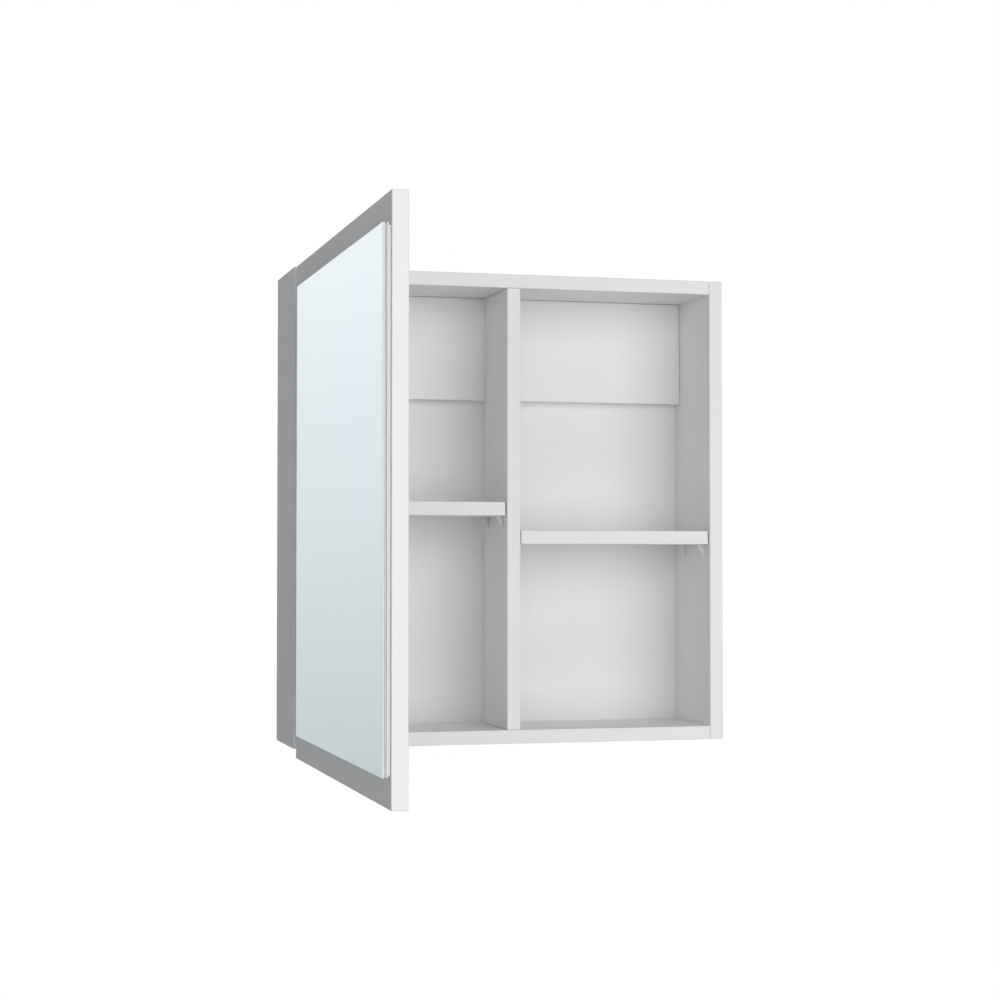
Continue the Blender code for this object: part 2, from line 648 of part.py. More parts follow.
def build_cup(name, z, axis, door):
    """The cup in the door's inner face, with its flange's two screw wings.  Closed-door coordinates."""
    middle_x = CUP_EDGE + CUP_RADIUS - POLE.x
    face_y = -DOOR_GAP - POLE.y
    rim = CUP_RADIUS + FLANGE_REACH
    inner = CUP_RADIUS - CUP_WALL
    profile = [
        (0.0, -CUP_DEPTH + CUP_FLOOR),
        (inner, -CUP_DEPTH + CUP_FLOOR),
        (inner, FLANGE_THICK),
        (rim, FLANGE_THICK),
        (rim, GAP),
        (CUP_RADIUS, GAP),
        (CUP_RADIUS, -CUP_DEPTH),
        (0.0, -CUP_DEPTH),
    ]
    item = turned(name, profile, NICKEL, axis, segments=32)
    item.location = (middle_x, face_y, z)
    turn_to(item, (0, 1, 0))
    for index, way in enumerate((1, -1)):
        near = z + way * (inner + 0.4 * MM)
        far = z + way * WING_HALF_LENGTH
        low_z, high_z = sorted((near, far))
        wing = box_cutter(f"{name}_wing_{index}", (middle_x - WING_HALF_WIDTH, face_y + GAP, low_z),
                          (middle_x + WING_HALF_WIDTH, face_y + FLANGE_THICK, high_z), axis)
        combine(item, wing, "UNION")
        level = "upper" if way > 0 else "lower"
        head = (middle_x, face_y + FLANGE_THICK + GAP, z + way * CUP_SCREW_OFFSET)
        screw_in(f"{name}_screw_{level}", head, (0, 1, 0), CUP_SCREW, NICKEL, (item, door), axis)
    notch = box_cutter(
        name + "_notch",
        (middle_x - rim - MM, face_y + GAP / 2, z - FLANGE_NOTCH_HALF),
        (middle_x - FLANGE_NOTCH_REACH, face_y + 2 * FLANGE_THICK, z + FLANGE_NOTCH_HALF),
        axis,
    )
    combine(item, notch)
    bore = round_cutter(name + "_bore", (middle_x, face_y, z), (0, 1, 0), CUP_RADIUS + GAP,
                        2 * (CUP_DEPTH + GAP), axis, segments=32)
    combine(door, bore)


# ---------------------------------------------------------------- door

def new_axis(name, point, turn):
    """An empty on a vertical axis: what is parented to it is modelled with the door shut, then turned."""
    axis = bpy.data.objects.new(name, None)
    axis.empty_display_size = 0.05
    PARTS.objects.link(axis)
    axis.location = plan(point, 0.0)
    axis.rotation_euler = (0.0, 0.0, turn)
    return axis


def build_door(axis):
    """The door board and the mirror on its outer face, in closed-door coordinates about the axis."""
    left = -POLE.x
    right = left + DOOR_WIDTH
    inner_y = -DOOR_GAP - POLE.y
    outer_y = inner_y - DOOR_THICK
    low = (left, outer_y, BOTTOM_Z - DOOR_BELOW)
    door = box("door_panel", low, (right, inner_y, TOP_Z), WHITE_BOARD, axis, EDGE_ROUND)
    mirror_top = TOP_Z - MIRROR_BELOW_TOP
    mirror_low = mirror_top - MIRROR_HEIGHT
    layers = (
        ("mirror_spacer", SPACER_THICK, SPACER_INSET, ADHESIVE),
        ("mirror_backing", BACKING_THICK, 0.0, BACKING),
        ("mirror_adhesive", ADHESIVE_THICK, ADHESIVE_INSET, ADHESIVE),
        ("mirror_glass", GLASS_THICK, 0.0, GLASS),
    )
    face = outer_y
    for name, thick, inset, material in layers:
        box(name, (left + MIRROR_FROM_HINGE + inset, face - thick, mirror_low + inset),
            (right - inset, face - GAP, mirror_top - inset), material, axis)
        face -= thick
    return door


def build_hinges(panels, door, axes):
    for level, z in zip(("upper", "lower"), HINGE_HEIGHTS):
        plate = build_mounting_plate(f"hinge_plate_{level}", z, panels["side_panel_left"])
        build_arm(f"hinge_arm_{level}", z, plate)
        build_cup(f"hinge_cup_{level}", z, axes["door"], door)
        build_link(f"outer_link_{level}", z, axes["outer"], OUTER_FIXED, OUTER_CUP, OUTER_BOW,
                   OUTER_HALF_WIDTH, FORK_HALF_WIDTH)
        build_link(f"inner_link_{level}", z, axes["inner"], INNER_FIXED, INNER_CUP, INNER_BOW,
                   INNER_HALF_WIDTH)


def main():
    panels = build_panels()
    build_shelves(panels)
    build_joinery(panels)
    build_hangers(panels)
    axes = {
        "door": new_axis("door_axis", POLE, -DOOR_TURN),
        "outer": new_axis("outer_link_axis", OUTER_FIXED, OUTER_TURN),
        "inner": new_axis("inner_link_axis", INNER_FIXED, INNER_TURN),
    }
    door = build_door(axes["door"])
    build_hinges(panels, door, axes)
    bpy.context.view_layer.update()


main()
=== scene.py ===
"""Looks of the hanging wall cabinet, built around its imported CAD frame.  Blender 4.5, metres, +Z up."""
import json
import math

import bmesh
import bpy
from mathutils import Matrix, Vector, noise as field


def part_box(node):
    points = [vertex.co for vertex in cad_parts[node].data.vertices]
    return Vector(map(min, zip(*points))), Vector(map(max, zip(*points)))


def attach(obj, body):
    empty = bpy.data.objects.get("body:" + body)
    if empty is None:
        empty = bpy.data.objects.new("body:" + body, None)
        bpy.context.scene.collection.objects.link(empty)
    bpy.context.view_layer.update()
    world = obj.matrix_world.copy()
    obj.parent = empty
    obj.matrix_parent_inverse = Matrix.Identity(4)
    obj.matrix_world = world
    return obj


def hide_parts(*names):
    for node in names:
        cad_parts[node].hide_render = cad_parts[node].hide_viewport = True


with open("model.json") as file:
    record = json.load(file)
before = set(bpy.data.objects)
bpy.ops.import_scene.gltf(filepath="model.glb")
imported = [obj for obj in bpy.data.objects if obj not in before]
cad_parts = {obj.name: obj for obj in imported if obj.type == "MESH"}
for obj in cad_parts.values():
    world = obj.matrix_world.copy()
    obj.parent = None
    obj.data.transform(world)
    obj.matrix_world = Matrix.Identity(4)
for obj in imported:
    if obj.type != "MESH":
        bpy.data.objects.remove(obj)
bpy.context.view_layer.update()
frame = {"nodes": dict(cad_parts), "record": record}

MM = 0.001
X, Y, Z = range(3)
LEVELS = ("upper", "lower")
HANDS = ("left", "right")
NODES = frame["nodes"]
RECORD = frame["record"]
BEHAVIOUR = RECORD["behaviour"]
BODY_OF = {node: body for body, nodes in BEHAVIOUR["bodies"].items() for node in nodes}
PIVOTS = {joint["name"]: Vector(joint["pos_m"]) for joint in BEHAVIOUR["joints"] if "pos_m" in joint}

# Camera: metres from the carcass's left front bottom corner, and a lens in mm on a full-frame sensor
CAMERA_OFFSET = Vector((-0.3906, -2.3780, 0.2161))
CAMERA_YAW = math.radians(14.924)
CAMERA_PITCH = math.radians(1.596)
CAMERA_LENS = 75.79
SENSOR = 36.0

# Meshes: what counts as the same point, the same level, a flat face, an edge to round and a crease
SAME_POINT = 0.002 * MM
SAME_LEVEL = 0.01 * MM
FLAT_ANGLE = math.radians(0.5)
EDGE_ANGLE = math.radians(30)
CREASE_ANGLE = math.radians(32)
FLAT_FACE_WEIGHT = 100

# Edging of the boards
BAND_THICK = 1.0 * MM
GLUE_LINE = 0.15 * MM

# How far each kind of piece has its edges rounded
BOARD_ROUND = 0.22 * MM
BACK_ROUND = 0.15 * MM
GLASS_ROUND = 0.45 * MM
BACKING_ROUND = 0.3 * MM
FOAM_ROUND = 0.25 * MM
PLASTIC_ROUND = 0.38 * MM
SHEET_ROUND = 0.3 * MM
ARM_ROUND = 0.32 * MM
LINK_ROUND = 0.25 * MM
CUP_ROUND = 0.12 * MM

# Nails in the back, with the half outline of a head in mm, from its top
NAIL_INSET = 8 * MM
NAIL_GAPS = 5
NAIL_PROUD = 0.25 * MM
NAIL_OUTLINE = ((0.0, 0.0), (1.5, -0.02), (1.7, -0.12), (1.7, -0.4), (0.0, -0.4))

# Foam behind the mirror: how far its edge stays inside the glass's, and how it wavers (waves in each metre)
FOAM_RECESS = {"mirror_adhesive": 0.75 * MM, "mirror_spacer": 2.1 * MM}
FOAM_WAVER = 0.2 * MM
FOAM_WAVES = 90.0
FOAM_STEPS = 40

# Screws: the thread, with each turn's root start, root end and crest as shares of the pitch, the plain
# length under the head, the heads, and the driver's cross as shares of the head's radius
SCREW_PITCH = 1.3 * MM
SCREW_TURN = (0.3, 0.55, 0.8)
SCREW_ROOT_SHARE = 0.74
SCREW_TAPER = 3.2
PLAIN_SHARE = 0.3
PLAIN_MOST = 2.0 * MM
PAN_RIM_SHARE = 0.35
COUNTERSUNK_RIM = 0.4 * MM
CROSS_REACH_SHARE = 0.58
CROSS_BLADE_SHARE = 0.15
CROSS_DEPTH = 1.4 * MM

# Cam bolts: the thread in the same way, the neck's share of the radius, and the ball's outline in radians
BOLT_PITCH = 2.0 * MM
BOLT_TURN = (0.35, 0.6, 0.85)
BOLT_TURNS = 5
BOLT_THREAD_LENGTH = 12 * MM
BOLT_NECK_SHARE = 0.62
BOLT_BALL_ANGLES = (0.5, 0.9, 1.3, 1.6, 2.0)

# Cam locks: the dished face, its bevel and cross, and the mouth that takes the bolt, about the lock's middle
CAM_DISH = 0.3 * MM
CAM_BEVEL = 0.4 * MM
CAM_CROSS_SHARE = 0.6
CAM_CROSS_BLADE = 0.75 * MM
CAM_CROSS_DEPTH = 2.4 * MM
CAM_MOUTH_HALF = 3.4 * MM
CAM_MOUTH_LOW = -5.4 * MM
CAM_MOUTH_HIGH = 1.2 * MM

# Hinge cups
CUP_WALL = 1.0 * MM
CUP_FLOOR = 0.6 * MM
CUP_STEP = 0.25 * MM
CUP_LIP = 0.3 * MM
CUP_HOLE = 2.0 * MM
CUP_NOTCH_HALF = 6.8 * MM
CUP_NOTCH_REACH = 14.3 * MM
FLANGE_THICK = 1.0 * MM
FLANGE_REACH = 1.0 * MM
FLANGE_UNDER = 0.3 * MM
WING_RADIUS = 6.5 * MM

# Hinge arms: the adjusting slot behind the arm's front end, its screw, and the rivets of the pins
ARM_SLOT_PLACE = 24 * MM
ARM_SLOT_HALF_RUN = 4.5 * MM
ARM_SLOT_HALF_WIDTH = 1.9 * MM
ARM_SLOT_DEPTH = 2 * MM
ARM_SLOT_ROUND = 1.6 * MM
ADJUSTER = {"length": 3.0 * MM, "head_radius": 2.9 * MM, "shank_radius": 1.7 * MM, "head_height": 1.1 * MM}
ADJUSTER_LIFT = 0.05 * MM
ADJUSTER_TWIST = math.radians(40)
RIVET_RADIUS = 1.7 * MM
RIVET_HEIGHT = 0.5 * MM
RIVET_SUNK = 0.1 * MM


# ---------------------------------------------------------------- material nodes

# The values between which a noise texture is taken from its lowest to its highest effect
GRAIN_RANGE = (0.3, 0.7)
CLOUD_RANGE = (0.32, 0.68)


def new_material(name, colour, roughness, metallic=0.0, specular=0.5):
    """A Principled material with its plain values on the shader's own sockets."""
    material = bpy.data.materials.new(name)
    material.use_nodes = True
    shader = shader_of(material)
    shader.inputs["Base Color"].default_value = (*colour, 1.0)
    shader.inputs["Roughness"].default_value = roughness
    shader.inputs["Metallic"].default_value = metallic
    shader.inputs["Specular IOR Level"].default_value = specular
    return material


def shader_of(material):
    return material.node_tree.nodes["Principled BSDF"]


def placed(tree, stretch=(1.0, 1.0, 1.0)):
    """Object-space coordinates, stretched along each axis."""
    place = tree.nodes.new("ShaderNodeTexCoord")
    mapping = tree.nodes.new("ShaderNodeMapping")
    mapping.inputs["Scale"].default_value = stretch
    tree.links.new(place.outputs["Object"], mapping.inputs["Vector"])
    return mapping.outputs["Vector"]


def noise(tree, scale, detail=3.0, stretch=(1.0, 1.0, 1.0), distortion=0.0):
    """A noise texture, in features per metre."""
    texture = tree.nodes.new("ShaderNodeTexNoise")
    texture.inputs["Scale"].default_value = scale
    texture.inputs["Detail"].default_value = detail
    texture.inputs["Distortion"].default_value = distortion
    tree.links.new(placed(tree, stretch), texture.inputs["Vector"])
    return texture.outputs["Fac"]


def cells(tree, scale, output="Distance"):
    """A Voronoi texture, in cells per metre: foam bubbles, or the spangle of zinc."""
    texture = tree.nodes.new("ShaderNodeTexVoronoi")
    texture.inputs["Scale"].default_value = scale
    tree.links.new(placed(tree), texture.inputs["Vector"])
    return texture.outputs[output]


def ramp(tree, source, stops):
    """A colour ramp; stops are (position, (r, g, b))."""
    node = tree.nodes.new("ShaderNodeValToRGB")
    elements = node.color_ramp.elements
    while len(elements) < len(stops):
        elements.new(0.5)
    for element, (position, colour) in zip(elements, stops):
        element.position = position
        element.color = (*colour, 1.0)
    tree.links.new(source, node.inputs["Fac"])
    return node.outputs["Color"]


def remap(tree, source, low, high, to_low=0.0, to_high=1.0, kind="LINEAR"):
    """Maps a value's own range onto another."""
    node = tree.nodes.new("ShaderNodeMapRange")
    node.interpolation_type = kind
    node.inputs["From Min"].default_value = low
    node.inputs["From Max"].default_value = high
    node.inputs["To Min"].default_value = to_low
    node.inputs["To Max"].default_value = to_high
    tree.links.new(source, node.inputs["Value"])
    return node.outputs["Result"]


def bump(tree, height, strength, distance):
    node = tree.nodes.new("ShaderNodeBump")
    node.inputs["Strength"].default_value = strength
    node.inputs["Distance"].default_value = distance
    tree.links.new(height, node.inputs["Height"])
    return node.outputs["Normal"]


def varied(material, clouds, grain, tone, gloss, strength, depth):
    """Varies a material: its tone over the clouds, its gloss and relief over the grain.

    tone is the darkest share of the colour, and gloss how far the roughness swings either way.
    strength and depth are those of the relief.
    """
    tree = material.node_tree
    shader = shader_of(material)
    colour = tuple(shader.inputs["Base Color"].default_value)[:3]
    darker = tuple(channel * tone for channel in colour)
    rough = shader.inputs["Roughness"].default_value
    mottled = ramp(tree, clouds, list(zip(CLOUD_RANGE, (darker, colour))))
    uneven = remap(tree, grain, *GRAIN_RANGE, rough - gloss, rough + gloss)
    tree.links.new(mottled, shader.inputs["Base Color"])
    tree.links.new(uneven, shader.inputs["Roughness"])
    tree.links.new(bump(tree, grain, strength, depth), shader.inputs["Normal"])
    return material


# ---------------------------------------------------------------- the materials

def melamine(name, colour, roughness, tone=0.985):
    """White facing paper: a fine pearl texture, faint clouds and slightly uneven gloss."""
    material = new_material(name, colour, roughness, specular=0.27)
    tree = material.node_tree
    clouds = noise(tree, 9.0, 2.0)
    pearl = noise(tree, 2600.0, 2.0)
    return varied(material, clouds, pearl, tone, gloss=0.07, strength=0.14, depth=0.04 * MM)


def edge_band(name, colour, roughness):
    """Plastic edging: smoother than the facing, with faint lines along its run."""
    material = new_material(name, colour, roughness)
    tree = material.node_tree
    clouds = noise(tree, 14.0, 2.0)
    lines = noise(tree, 900.0, 2.0, stretch=(1.0, 1.0, 0.06))
    return varied(material, clouds, lines, 0.99, gloss=0.05, strength=0.10, depth=0.03 * MM)


def fibres(name, colour, roughness, tone, scale, depth):
    """Pressed fibre: crossing short fibres over soft clouds."""
    material = new_material(name, colour, roughness, specular=0.3)
    tree = material.node_tree
    clouds = noise(tree, scale * 0.6, 6.0, distortion=0.4)
    matted = noise(tree, scale, 6.0, stretch=(1.0, 1.0, 0.35), distortion=1.2)
    return varied(material, clouds, matted, tone, gloss=0.06, strength=0.5, depth=depth)


def silver_mirror(name, colour, roughness):
    """Silvered float glass, seen from its front: almost even in tone, with a breath of haze."""
    material = new_material(name, colour, roughness, metallic=1.0)
    tree = material.node_tree
    shader = shader_of(material)
    haze = noise(tree, 14.0, 4.0)
    tree.links.new(remap(tree, haze, *GRAIN_RANGE, 0.008, 0.028), shader.inputs["Roughness"])
    tone = ramp(tree, noise(tree, 3.0, 2.0), [(0.35, (0.925, 0.957, 0.963)), (0.65, (0.935, 0.963, 0.967))])
    tree.links.new(tone, shader.inputs["Base Color"])
    return material


def glass_edge(name, colour, roughness):
    """The ground edge of the glass: pale, faintly green, with fine grinding lines."""
    material = new_material(name, colour, roughness, specular=0.6)
    tree = material.node_tree
    clouds = noise(tree, 30.0, 3.0)
    lines = noise(tree, 3000.0, 2.0, stretch=(1.0, 1.0, 0.04))
    return varied(material, clouds, lines, 0.95, gloss=0.08, strength=0.25, depth=0.03 * MM)


def foam(name, colour, roughness):
    """Closed-cell foam tape."""
    material = new_material(name, colour, roughness, specular=0.25)
    tree = material.node_tree
    clouds = noise(tree, 120.0, 4.0)
    bubbles = cells(tree, 1500.0)
    return varied(material, clouds, bubbles, 0.93, gloss=0.08, strength=0.7, depth=0.2 * MM)


def moulded(name, colour, roughness, light_depth):
    """Injection-moulded plastic: a spark-eroded grain and a little light inside."""
    material = new_material(name, colour, roughness)
    shader = shader_of(material)
    shader.inputs["Subsurface Weight"].default_value = 0.25
    shader.inputs["Subsurface Radius"].default_value = (1.0, 0.95, 0.9)
    shader.inputs["Subsurface Scale"].default_value = light_depth
    tree = material.node_tree
    clouds = noise(tree, 60.0, 2.0)
    grain = noise(tree, 3200.0, 3.0)
    return varied(material, clouds, grain, 0.97, gloss=0.06, strength=0.2, depth=0.04 * MM)


def plated(name, colour, roughness, tone=0.93):
    """Plated pressed steel: soft smudges and drawing lines."""
    material = new_material(name, colour, roughness, metallic=1.0)
    tree = material.node_tree
    smudges = noise(tree, 70.0, 4.0)
    lines = noise(tree, 1200.0, 3.0, stretch=(1.0, 0.12, 1.0), distortion=0.3)
    return varied(material, smudges, lines, tone, gloss=0.06, strength=0.12, depth=0.03 * MM)


def spangled(name, colour, roughness):
    """Zinc coated sheet: crystals of unlike tone under a dull shine."""
    material = new_material(name, colour, roughness, metallic=1.0)
    tree = material.node_tree
    crystals = cells(tree, 420.0, "Color")
    grain = noise(tree, 900.0, 4.0)
    return varied(material, crystals, grain, 0.80, gloss=0.08, strength=0.15, depth=0.04 * MM)


def cast(name, colour, roughness):
    """Die-cast zinc: pitted and dull."""
    material = new_material(name, colour, roughness, metallic=1.0)
    tree = material.node_tree
    clouds = noise(tree, 180.0, 5.0)
    pits = noise(tree, 1400.0, 5.0)
    return varied(material, clouds, pits, 0.78, gloss=0.10, strength=0.5, depth=0.12 * MM)


MELAMINE = melamine("white_melamine", (0.85, 0.85, 0.855), 0.42)
EDGE_BAND = edge_band("white_edge_band", (0.87, 0.87, 0.88), 0.36)
GLUE = melamine("glue_line", (0.60, 0.59, 0.57), 0.6, tone=0.9)
LACQUER = melamine("white_lacquered_hardboard", (0.86, 0.86, 0.865), 0.5, tone=0.975)
HARDBOARD = fibres("raw_hardboard", (0.40, 0.265, 0.155), 0.72, tone=0.82, scale=520.0, depth=0.25 * MM)
MIRROR = silver_mirror("silvered_mirror", (0.93, 0.96, 0.965), 0.015)
GLASS_EDGE = glass_edge("ground_glass_edge", (0.73, 0.76, 0.755), 0.28)
MIRROR_PAINT = melamine("mirror_back_paint", (0.34, 0.37, 0.38), 0.5, tone=0.9)
BACKING = fibres("mirror_backing_fibre", (0.81, 0.81, 0.81), 0.6, tone=0.95, scale=900.0, depth=0.08 * MM)
TAPE = foam("pale_foam_tape", (0.78, 0.78, 0.79), 0.82)
PLASTIC = moulded("white_moulded_plastic", (0.82, 0.82, 0.815), 0.34, light_depth=0.8 * MM)
NICKEL = plated("nickel_plated_steel", (0.70, 0.685, 0.66), 0.24)
SCREW_NICKEL = plated("nickel_plated_screw", (0.66, 0.655, 0.64), 0.3)
ZINC_SHEET = spangled("zinc_coated_sheet", (0.60, 0.61, 0.63), 0.38)
ZINC = plated("zinc_plated_fastener", (0.62, 0.63, 0.62), 0.34, tone=0.85)
CAST = cast("die_cast_zinc", (0.46, 0.46, 0.465), 0.5)


# ---------------------------------------------------------------- making pieces

def corners(node):
    low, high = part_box(node)
    return Vector(low), Vector(high)


def mesh_of(name, shape):
    """Turns an edit mesh into a mesh, and frees it."""
    mesh = bpy.data.meshes.new(name)
    shape.to_mesh(mesh)
    shape.free()
    return mesh


def linked(name, data):
    """A new object in the scene."""
    item = bpy.data.objects.new(name, data)
    bpy.context.scene.collection.objects.link(item)
    return item


def add_piece(name, mesh, materials):
    """A piece from a mesh whose faces already say which of the materials they take."""
    for material in materials:
        mesh.materials.append(material)
    return linked(name, mesh)


def stand_for(item, node):
    """The piece takes a CAD node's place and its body."""
    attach(item, BODY_OF[node])
    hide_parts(node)


def add_to_cabinet(item):
    """A piece that stands for no CAD node, fixed to the cabinet."""
    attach(item, "cabinet")


def drop(item):
    bpy.data.objects.remove(item, do_unlink=True)


def settled(item):
    """Makes the piece's modifiers part of its mesh, and shades it smooth between its creases."""
    item.data.shade_smooth()
    item.data.set_sharp_from_angle(angle=math.pi)
    bpy.context.view_layer.update()
    shown = item.evaluated_get(bpy.context.evaluated_depsgraph_get())
    mesh = bpy.data.meshes.new_from_object(shown)
    mesh.name = item.name
    item.modifiers.clear()
    item.data = mesh
    if not mesh.has_custom_normals:
        mesh.shade_smooth()
        mesh.set_sharp_from_angle(angle=CREASE_ANGLE)
    return item


def rounded(item, width, segments=2):
    """Rounds the sharp edges, and keeps the flats flat in shading."""
    bevel = item.modifiers.new("edges", "BEVEL")
    bevel.width = width
    bevel.segments = segments
    bevel.limit_method = "ANGLE"
    bevel.angle_limit = EDGE_ANGLE
    normals = item.modifiers.new("flat_faces", "WEIGHTED_NORMAL")
    normals.weight = FLAT_FACE_WEIGHT
    return item


def cut(item, others, operation="DIFFERENCE"):
    """Joins or cuts a piece with helper solids, and removes them."""
    for other in others:
        step = item.modifiers.new(other.name, "BOOLEAN")
        step.operation = operation
        step.solver = "EXACT"
        step.object = other
    settled(item)
    for other in others:
        drop(other)
    return item


def solid_box(name, low, high):
    low, high = Vector(low), Vector(high)
    shape = bmesh.new()
    bmesh.ops.create_cube(shape, size=1.0)
    bmesh.ops.scale(shape, vec=high - low, verts=shape.verts)
    bmesh.ops.translate(shape, vec=(low + high) / 2, verts=shape.verts)
    return linked(name, mesh_of(name, shape))


def solid_between(name, first, second, low_z, high_z):
    """A box over the rectangle between two points, in any order, from one height to another."""
    low_x, high_x = sorted((first.x, second.x))
    low_y, high_y = sorted((first.y, second.y))
    return solid_box(name, (low_x, low_y, low_z), (high_x, high_y, high_z))


def solid_round(name, radius, low_z, high_z, segments, centre):
    """An upright cylinder around a centre that is given at height 0."""
    shape = bmesh.new()
    bmesh.ops.create_cone(shape, cap_ends=True, segments=segments, radius1=radius, radius2=radius,
                          depth=high_z - low_z, matrix=Matrix.Translation((0, 0, (low_z + high_z) / 2)))
    bmesh.ops.translate(shape, vec=centre, verts=shape.verts)
    return linked(name, mesh_of(name, shape))


def solid_cross(reach, blade, top, depth):
    """Two crossing bars that cut a driver's cross, down from a top face."""
    return [
        solid_box("slot_a", (-reach, -blade, top - depth), (reach, blade, top + MM)),
        solid_box("slot_b", (-blade, -reach, top - depth), (blade, reach, top + MM)),
    ]


def turned_mesh(name, profile, segments=48):
    """A closed solid of revolution about Z from (radius, height) points, run from the top to the bottom."""
    shape = bmesh.new()
    points = [shape.verts.new((radius, 0.0, height)) for radius, height in profile]
    for first, second in zip(points, points[1:]):
        shape.edges.new((first, second))
    bmesh.ops.spin(shape, geom=shape.verts[:] + shape.edges[:], axis=(0, 0, 1), cent=(0, 0, 0),
                   angle=2 * math.pi, steps=segments, use_merge=True)
    bmesh.ops.remove_doubles(shape, verts=shape.verts, dist=SAME_POINT)
    bmesh.ops.recalc_face_normals(shape, faces=shape.faces)
    mesh = mesh_of(name, shape)
    mesh.shade_smooth()
    mesh.set_sharp_from_angle(angle=CREASE_ANGLE)
    return mesh


def gathered(name, single, placements):
    """One mesh out of copies of a single one, each at its own placement."""
    shape = bmesh.new()
    for placement in placements:
        moved = single.copy()
        moved.transform(placement)
        shape.from_mesh(moved)
        bpy.data.meshes.remove(moved)
    return mesh_of(name, shape)


def facing(direction):
    """The turn that takes Z onto a direction."""
    return Vector((0, 0, 1)).rotation_difference(Vector(direction)).to_matrix().to_4x4()


def dome(radius, base, height, steps=6):
    """Profile points of a low dome, from its top to its rim."""
    turns = [math.pi / 2 * i / steps for i in range(steps + 1)]
    return [(radius * math.sin(t), base + height * math.cos(t)) for t in turns]


def thread(root, crest, top, pitch, turns, shares, taper=0.0):
    """Profile points of a thread, downwards. With a taper, its last quarter narrows to a point."""
    points = []
    for i in range(turns):
        fade = 1.0 - max(0.0, (i + 1) / turns - 0.75) * taper
        start = top - pitch * i
        for radius, share in zip((root, root, crest), shares):
            points.append((radius * fade, start - pitch * share))
    return points


def looks(face, axis, way):
    """Whether a face of a box looks along an axis, towards its low (-1) or high (+1) end."""
    return way * face.normal[axis] > 0.5


def copied(node):
    """The CAD node's shape as a fresh edit mesh with its flat faces whole again."""
    shape = bmesh.new()
    shape.from_mesh(NODES[node].data)
    bmesh.ops.remove_doubles(shape, verts=shape.verts, dist=SAME_POINT)
    bmesh.ops.dissolve_limit(shape, angle_limit=FLAT_ANGLE, verts=shape.verts, edges=shape.edges)
    return shape


def replace_node(node, suffix, shape, materials, width, segments=2):
    """A piece of the node's own edited shape, softly rounded, in its place."""
    name = f"{node}_{suffix}"
    item = add_piece(name, mesh_of(name, shape), materials)
    stand_for(settled(rounded(item, width, segments)), node)


def refine(node, suffix, material, width, segments=3):
    """A CAD shape as it is, with its edges rounded off."""
    replace_node(node, suffix, copied(node), (material,), width, segments)


# ---------------------------------------------------------------- boards and back

def split_at(shape, axis, place):
    """Cuts every face across, square to an axis."""
    normal = Vector((0, 0, 0))
    normal[axis] = 1.0
    everything = shape.verts[:] + shape.edges[:] + shape.faces[:]
    bmesh.ops.bisect_plane(shape, geom=everything, plane_co=normal * place, plane_no=normal)


def build_board(node, bands):
    """A faced board: edging of its own on the banded ends, behind a hairline of glue, all softly rounded.

    bands lists (axis, way) for each banded end, way being -1 for the low end and +1 for the high one.
    """
    low, high = corners(node)
    shape = copied(node)
    limits = []
    for axis, way in bands:
        end = low[axis] if way < 0 else high[axis]
        seam = end - way * BAND_THICK
        inner = seam - way * GLUE_LINE
        split_at(shape, axis, seam)
        split_at(shape, axis, inner)
        limits.append((axis, way, seam, inner))
    materials = (MELAMINE, EDGE_BAND, GLUE)
    for face in shape.faces:
        middle = face.calc_center_median()
        face.material_index = materials.index(MELAMINE)
        for axis, way, seam, inner in limits:
            if way * (middle[axis] - seam) > 0:
                face.material_index = materials.index(EDGE_BAND)
                break
            if way * (middle[axis] - inner) > 0:
                face.material_index = materials.index(GLUE)
    replace_node(node, "faced", shape, materials, BOARD_ROUND)


def build_boards():
    front = (Y, -1)
    rear = (Y, 1)
    top = (Z, 1)
    bottom = (Z, -1)
    boards = {
        "side_panel_left": (front, top, bottom),
        "side_panel_right": (front, top, bottom),
        "top_panel": (front,),
        "bottom_panel": (front,),
        "divider": (front,),
        "hanging_rail": (bottom,),
        "shelf_left": (front, rear),
        "shelf_right": (front, rear),
        "door_panel": (front, rear, top, bottom),
    }
    for node, bands in boards.items():
        build_board(node, bands)


def build_back():
    """The hardboard back: lacquered in front, raw behind, held by nails all round."""
    materials = (LACQUER, HARDBOARD)
    shape = copied("back_panel")
    for face in shape.faces:
        face.material_index = materials.index(LACQUER if looks(face, Y, -1) else HARDBOARD)
    replace_node("back_panel", "hardboard", shape, materials, BACK_ROUND)
    build_nails(*corners("back_panel"))


def build_nails(low, high):
    """Flat nail heads let into the back, along all four of its edges."""
    nail = turned_mesh("nail_head", [(r * MM, z * MM + NAIL_PROUD) for r, z in NAIL_OUTLINE], 24)
    spots = set()
    for i in range(NAIL_GAPS + 1):
        along_x = low.x + NAIL_INSET + (high.x - low.x - 2 * NAIL_INSET) * i / NAIL_GAPS
        along_z = low.z + NAIL_INSET + (high.z - low.z - 2 * NAIL_INSET) * i / NAIL_GAPS
        spots |= {(along_x, low.z + NAIL_INSET), (along_x, high.z - NAIL_INSET)}
        spots |= {(low.x + NAIL_INSET, along_z), (high.x - NAIL_INSET, along_z)}
    to_rear = facing((0, 1, 0))
    placements = [Matrix.Translation((x, high.y, z)) @ to_rear for x, z in sorted(spots)]
    mesh = gathered("back_panel_nails", nail, placements)
    add_to_cabinet(add_piece("back_panel_nails", mesh, (ZINC,)))


# ---------------------------------------------------------------- mirror

